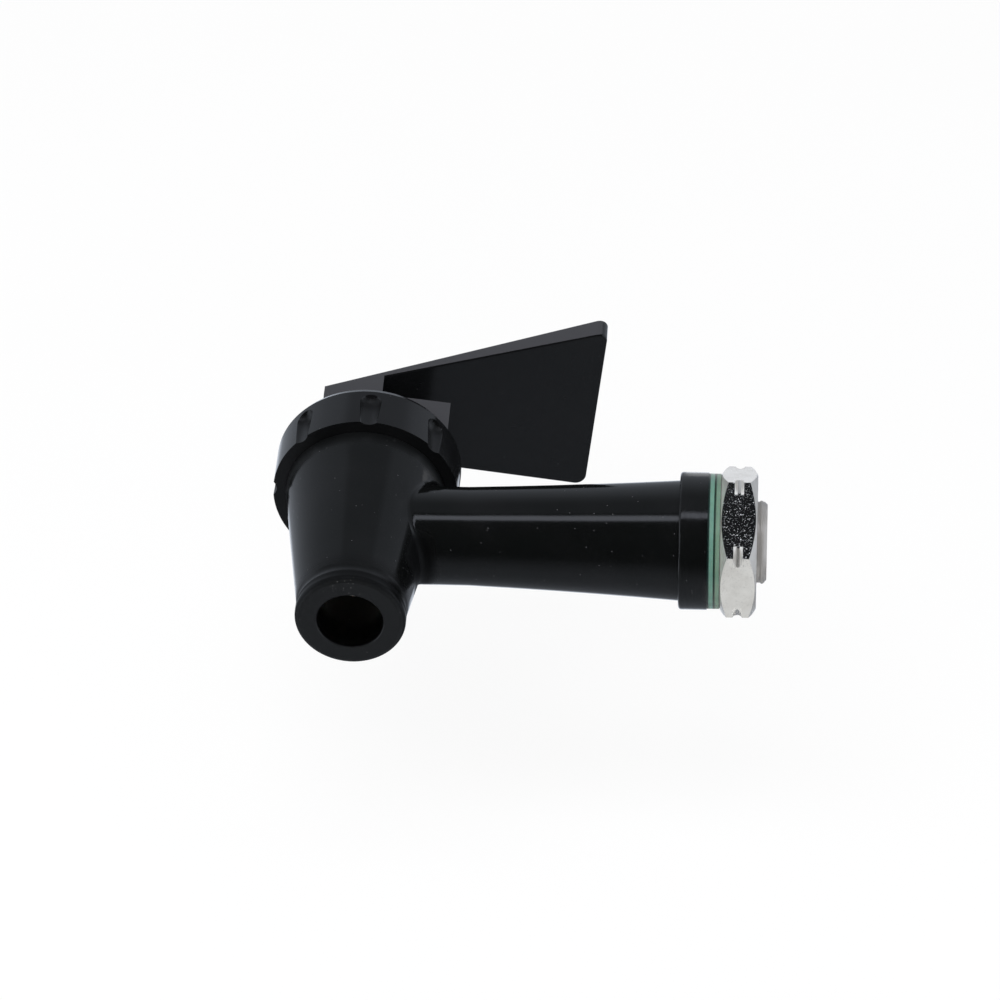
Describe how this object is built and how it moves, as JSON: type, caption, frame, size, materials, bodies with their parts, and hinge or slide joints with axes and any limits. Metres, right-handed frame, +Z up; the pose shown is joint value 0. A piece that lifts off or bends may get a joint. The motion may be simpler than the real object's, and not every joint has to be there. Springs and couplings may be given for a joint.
{
  "type": "beverage dispensing faucet",
  "caption": "Lever faucet for a beverage vessel: tapered barrel with downward outlet, flared shank with collar, gaskets and hex nut, screw bonnet and wedge-shaped lifting lever.",
  "frame": {"origin": "centre of the outlet's mouth", "axes": "+Z up the barrel to the bonnet, +X along the shank to its threaded end"},
  "size_m": [0.0811, 0.0358, 0.0664],
  "materials": {
    "body_black": "glossy moulded",
    "bonnet_black": "glossy moulded",
    "lever_black": "satin gloss moulded",
    "nipple_plated": "nickel plated",
    "nut_plated": "nickel plated over sand-textured metal",
    "gasket_mint": "matte",
    "gasket_sage": "matte",
    "pin_steel": "ground",
    "spring_steel": "drawn wire",
    "stem_plastic": "moulded natural plastic",
    "cup_silicone": "translucent silicone"
  },
  "bodies": {
    "housing": {"faucet_body": "body_black", "shank_nipple": "nipple_plated", "outer_gasket": "gasket_mint", "inner_gasket": "gasket_sage", "bonnet": "bonnet_black", "seat_cup": "cup_silicone"},
    "coil": {"spring": "spring_steel"},
    "plunger": {"stem": "stem_plastic", "handle_pin": "pin_steel"},
    "lever": {"handle": "lever_black"},
    "nut": {"shank_nut": "nut_plated"}
  },
  "joints": [
    {"name": "handle_swivel", "type": "hinge", "parent": "housing", "child": "coil", "pos_m": [0, 0, 0.04], "axis": [0, 0, 1], "continuous": true},
    {"name": "stem_lift", "type": "slide", "parent": "coil", "child": "plunger", "axis": [0, 0, 1], "range_m": [0, 0.0044], "stiffness_N_per_m": 200, "springref_m": -0.003, "deforming": ["spring", "seat_cup"]},
    {"name": "handle_tilt", "type": "hinge", "parent": "plunger", "child": "lever", "pos_m": [0, 0, 0.0459], "axis": [0.1305, -0.9914, 0], "range_deg": [0, 90]},
    {"name": "nut_turn", "type": "hinge", "parent": "housing", "child": "nut", "pos_m": [0.06, 0, 0.022], "axis": [1, 0, 0], "continuous": true}
  ],
  "couplings": [
    {"joint": "handle_tilt", "follows": "stem_lift", "rad_per_m": 345.23}
  ]
}
